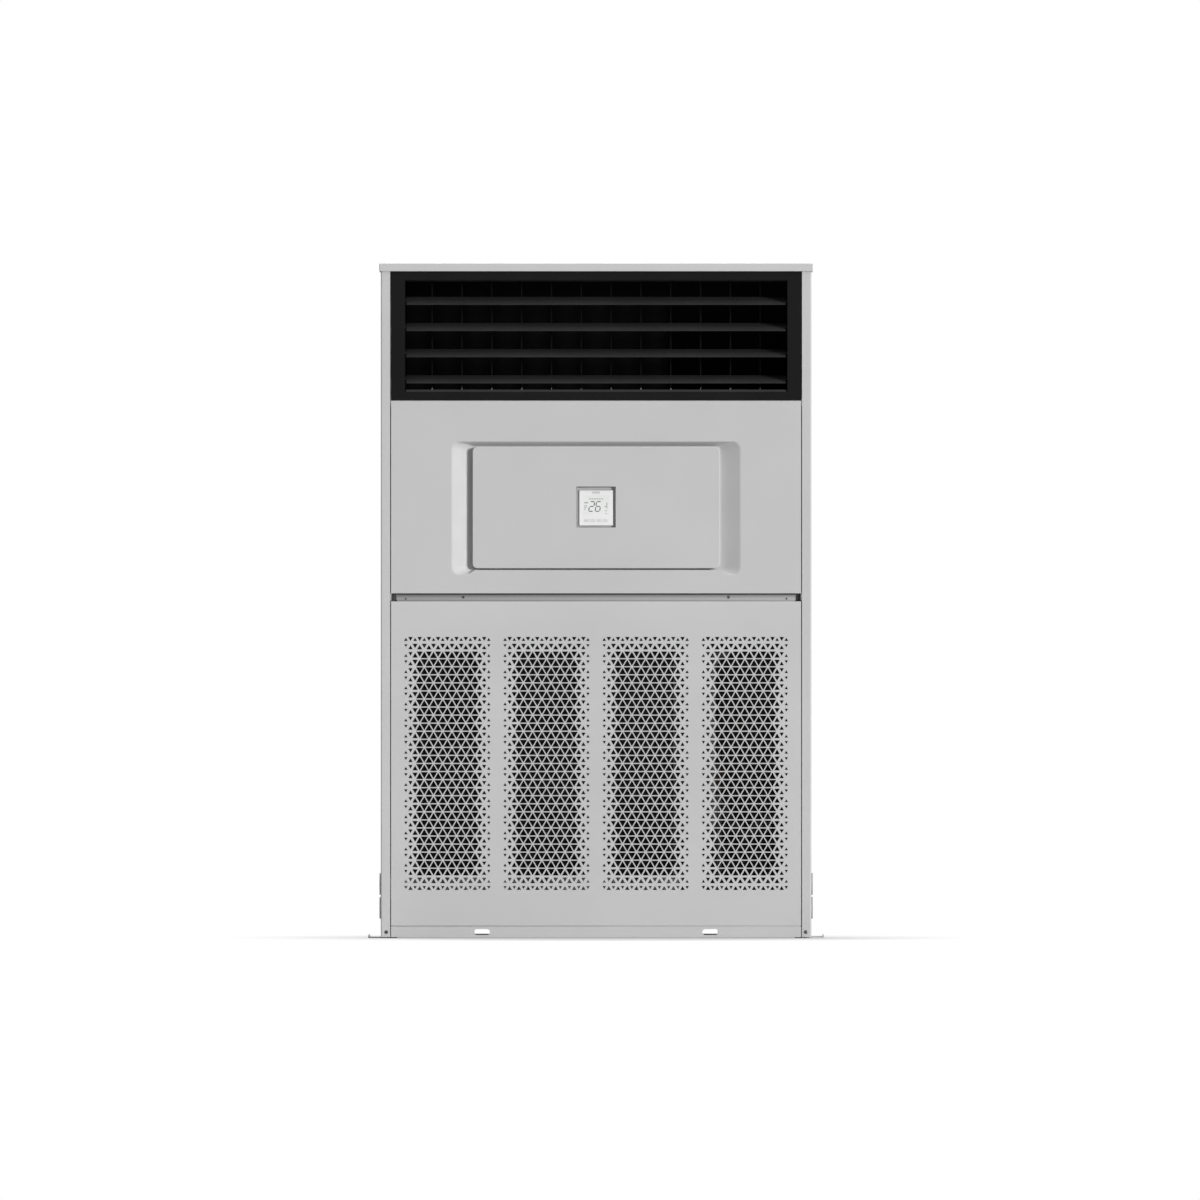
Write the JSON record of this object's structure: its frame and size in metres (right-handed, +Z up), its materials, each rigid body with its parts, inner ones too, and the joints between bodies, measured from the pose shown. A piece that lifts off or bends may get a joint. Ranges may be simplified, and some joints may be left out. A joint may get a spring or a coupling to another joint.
{
  "type": "floor standing air conditioner",
  "caption": "Wide floor standing cabinet air conditioner: louvred top outlet, recessed control cover with a wired controller, perforated lower intake panel, twin blowers and a slanted coil.",
  "frame": {"origin": "on the floor under the middle of the cabinet", "axes": "+Z up, +X to the right of someone who faces the front, -Y out of the front"},
  "size_m": [1.26, 0.408, 1.865],
  "materials": {
    "panel_paint": "light grey fine powder coat, satin",
    "cover_paint": "light grey fine powder coat, satin",
    "base_paint": "light grey fine powder coat, satin",
    "bezel_black": "black moulded plastic, fine texture",
    "blade_black": "black moulded plastic, satin",
    "vane_grey": "mid grey moulded plastic",
    "link_plastic": "dark moulded plastic",
    "controller_white": "white moulded plastic, semi gloss",
    "key_grey": "pale grey plastic",
    "display": "grey display window",
    "galvanised": "galvanised sheet",
    "wheel_steel": "galvanised sheet",
    "shaft_steel": "bright steel",
    "motor_cast": "dark painted casting",
    "coil_aluminium": "mill finish",
    "copper": "bare copper tube",
    "tray_paint": "pale plastic",
    "filter_black": "black plastic",
    "board_green": "circuit board",
    "terminal_plastic": "black plastic",
    "step_motor": "plated steel can",
    "rubber": "grey rubber",
    "screw_zinc": "zinc plated"
  },
  "bodies": {
    "cabinet": {"base_pan": "base_paint", "foot_left": "base_paint", "foot_right": "base_paint", "side_panel_left": "panel_paint", "side_panel_right": "panel_paint", "back_panel": "cover_paint", "top_cover": "cover_paint", "cross_rail": "galvanised", "fan_deck": "galvanised", "outlet_bezel": "bezel_black", "vane_rails": "link_plastic", "middle_panel": "panel_paint", "controller_case": "controller_white", "lcd_glass": "display", "coil_fins": "coil_aluminium", "coil_end_plates": "galvanised", "return_bends": "copper", "suction_header": "copper", "distributor": "copper", "drain_pan": "tray_paint", "fan_scrolls": "galvanised", "fan_motor": "motor_cast", "motor_bracket": "galvanised", "shaft_bearings": "shaft_steel", "electrical_box": "galvanised", "circuit_board": "board_green", "terminal_block": "terminal_plastic", "vane_motor": "step_motor", "blade_motor": "step_motor", "pipe_grommets": "rubber", "cabinet_screws": "screw_zinc"},
    "fan_rotor": {"fan_shaft": "shaft_steel", "fan_wheel_left": "wheel_steel", "fan_wheel_right": "wheel_steel"},
    "intake_panel": {"intake_panel": "panel_paint", "intake_screws": "screw_zinc", "air_filters": "filter_black"},
    "control_cover": {"control_cover": "panel_paint"},
    "key_1": {"key_1": "key_grey"},
    "key_2": {"key_2": "key_grey"},
    "key_3": {"key_3": "key_grey"},
    "key_4": {"key_4": "key_grey"},
    "louver_blade_1": {"louver_blade_1": "blade_black"},
    "louver_blade_2": {"louver_blade_2": "blade_black"},
    "louver_blade_3": {"louver_blade_3": "blade_black"},
    "louver_blade_4": {"louver_blade_4": "blade_black"},
    "blade_link": {"blade_link": "link_plastic"},
    "vane_1": {"vane_1": "vane_grey"},
    "vane_2": {"vane_2": "vane_grey"},
    "vane_3": {"vane_3": "vane_grey"},
    "vane_4": {"vane_4": "vane_grey"},
    "vane_5": {"vane_5": "vane_grey"},
    "vane_6": {"vane_6": "vane_grey"},
    "vane_7": {"vane_7": "vane_grey"},
    "vane_8": {"vane_8": "vane_grey"},
    "vane_9": {"vane_9": "vane_grey"},
    "vane_10": {"vane_10": "vane_grey"},
    "vane_11": {"vane_11": "vane_grey"},
    "vane_12": {"vane_12": "vane_grey"},
    "vane_link": {"vane_link": "link_plastic"}
  },
  "joints": [
    {"name": "fan_spin", "type": "hinge", "parent": "cabinet", "child": "fan_rotor", "pos_m": [0, -0.006, 1.225], "axis": [1, 0, 0], "continuous": true},
    {"name": "intake_panel_pull", "type": "slide", "parent": "cabinet", "child": "intake_panel", "axis": [0, -1, 0], "range_m": [0, 0.08]},
    {"name": "control_cover_pull", "type": "slide", "parent": "cabinet", "child": "control_cover", "axis": [0, -1, 0], "range_m": [0, 0.06]},
    {"name": "key_1_press", "type": "slide", "parent": "cabinet", "child": "key_1", "axis": [0, 1, 0], "range_m": [0, 0.0006], "stiffness_N_per_m": 1500},
    {"name": "key_2_press", "type": "slide", "parent": "cabinet", "child": "key_2", "axis": [0, 1, 0], "range_m": [0, 0.0006], "stiffness_N_per_m": 1500},
    {"name": "key_3_press", "type": "slide", "parent": "cabinet", "child": "key_3", "axis": [0, 1, 0], "range_m": [0, 0.0006], "stiffness_N_per_m": 1500},
    {"name": "key_4_press", "type": "slide", "parent": "cabinet", "child": "key_4", "axis": [0, 1, 0], "range_m": [0, 0.0006], "stiffness_N_per_m": 1500},
    {"name": "blade_1_tilt", "type": "hinge", "parent": "cabinet", "child": "louver_blade_1", "pos_m": [0, -0.16, 1.5445], "axis": [1, 0, 0], "range_deg": [-45, 42]},
    {"name": "blade_2_tilt", "type": "hinge", "parent": "cabinet", "child": "louver_blade_2", "pos_m": [0, -0.16, 1.6168], "axis": [1, 0, 0], "range_deg": [-45, 42]},
    {"name": "blade_3_tilt", "type": "hinge", "parent": "cabinet", "child": "louver_blade_3", "pos_m": [0, -0.16, 1.6891], "axis": [1, 0, 0], "range_deg": [-45, 42]},
    {"name": "blade_4_tilt", "type": "hinge", "parent": "cabinet", "child": "louver_blade_4", "pos_m": [0, -0.16, 1.7614], "axis": [1, 0, 0], "range_deg": [-45, 42]},
    {"name": "blade_link_pin", "type": "hinge", "parent": "louver_blade_1", "child": "blade_link", "pos_m": [-0.53, -0.13891, 1.55075], "axis": [1, 0, 0], "range_deg": [-42, 45]},
    {"name": "vane_1_swing", "type": "hinge", "parent": "cabinet", "child": "vane_1", "pos_m": [-0.45375, -0.1, 1.664], "axis": [0, 0, 1], "range_deg": [-35, 35]},
    {"name": "vane_2_swing", "type": "hinge", "parent": "cabinet", "child": "vane_2", "pos_m": [-0.37125, -0.1, 1.664], "axis": [0, 0, 1], "range_deg": [-35, 35]},
    {"name": "vane_3_swing", "type": "hinge", "parent": "cabinet", "child": "vane_3", "pos_m": [-0.28875, -0.1, 1.664], "axis": [0, 0, 1], "range_deg": [-35, 35]},
    {"name": "vane_4_swing", "type": "hinge", "parent": "cabinet", "child": "vane_4", "pos_m": [-0.20625, -0.1, 1.664], "axis": [0, 0, 1], "range_deg": [-35, 35]},
    {"name": "vane_5_swing", "type": "hinge", "parent": "cabinet", "child": "vane_5", "pos_m": [-0.12375, -0.1, 1.664], "axis": [0, 0, 1], "range_deg": [-35, 35]},
    {"name": "vane_6_swing", "type": "hinge", "parent": "cabinet", "child": "vane_6", "pos_m": [-0.04125, -0.1, 1.664], "axis": [0, 0, 1], "range_deg": [-35, 35]},
    {"name": "vane_7_swing", "type": "hinge", "parent": "cabinet", "child": "vane_7", "pos_m": [0.04125, -0.1, 1.664], "axis": [0, 0, 1], "range_deg": [-35, 35]},
    {"name": "vane_8_swing", "type": "hinge", "parent": "cabinet", "child": "vane_8", "pos_m": [0.12375, -0.1, 1.664], "axis": [0, 0, 1], "range_deg": [-35, 35]},
    {"name": "vane_9_swing", "type": "hinge", "parent": "cabinet", "child": "vane_9", "pos_m": [0.20625, -0.1, 1.664], "axis": [0, 0, 1], "range_deg": [-35, 35]},
    {"name": "vane_10_swing", "type": "hinge", "parent": "cabinet", "child": "vane_10", "pos_m": [0.28875, -0.1, 1.664], "axis": [0, 0, 1], "range_deg": [-35, 35]},
    {"name": "vane_11_swing", "type": "hinge", "parent": "cabinet", "child": "vane_11", "pos_m": [0.37125, -0.1, 1.664], "axis": [0, 0, 1], "range_deg": [-35, 35]},
    {"name": "vane_12_swing", "type": "hinge", "parent": "cabinet", "child": "vane_12", "pos_m": [0.45375, -0.1, 1.664], "axis": [0, 0, 1], "range_deg": [-35, 35]},
    {"name": "vane_link_pin", "type": "hinge", "parent": "vane_1", "child": "vane_link", "pos_m": [-0.45375, -0.075, 1.517], "axis": [0, 0, 1], "range_deg": [-35, 35]}
  ],
  "couplings": [
    {"joint": "blade_2_tilt", "follows": "blade_1_tilt", "ratio": 1},
    {"joint": "blade_3_tilt", "follows": "blade_1_tilt", "ratio": 1},
    {"joint": "blade_4_tilt", "follows": "blade_1_tilt", "ratio": 1},
    {"joint": "blade_link_pin", "follows": "blade_1_tilt", "ratio": -1},
    {"joint": "vane_2_swing", "follows": "vane_1_swing", "ratio": 1},
    {"joint": "vane_3_swing", "follows": "vane_1_swing", "ratio": 1},
    {"joint": "vane_4_swing", "follows": "vane_1_swing", "ratio": 1},
    {"joint": "vane_5_swing", "follows": "vane_1_swing", "ratio": 1},
    {"joint": "vane_6_swing", "follows": "vane_1_swing", "ratio": 1},
    {"joint": "vane_7_swing", "follows": "vane_1_swing", "ratio": 1},
    {"joint": "vane_8_swing", "follows": "vane_1_swing", "ratio": 1},
    {"joint": "vane_9_swing", "follows": "vane_1_swing", "ratio": 1},
    {"joint": "vane_10_swing", "follows": "vane_1_swing", "ratio": 1},
    {"joint": "vane_11_swing", "follows": "vane_1_swing", "ratio": 1},
    {"joint": "vane_12_swing", "follows": "vane_1_swing", "ratio": 1},
    {"joint": "vane_link_pin", "follows": "vane_1_swing", "ratio": -1}
  ]
}
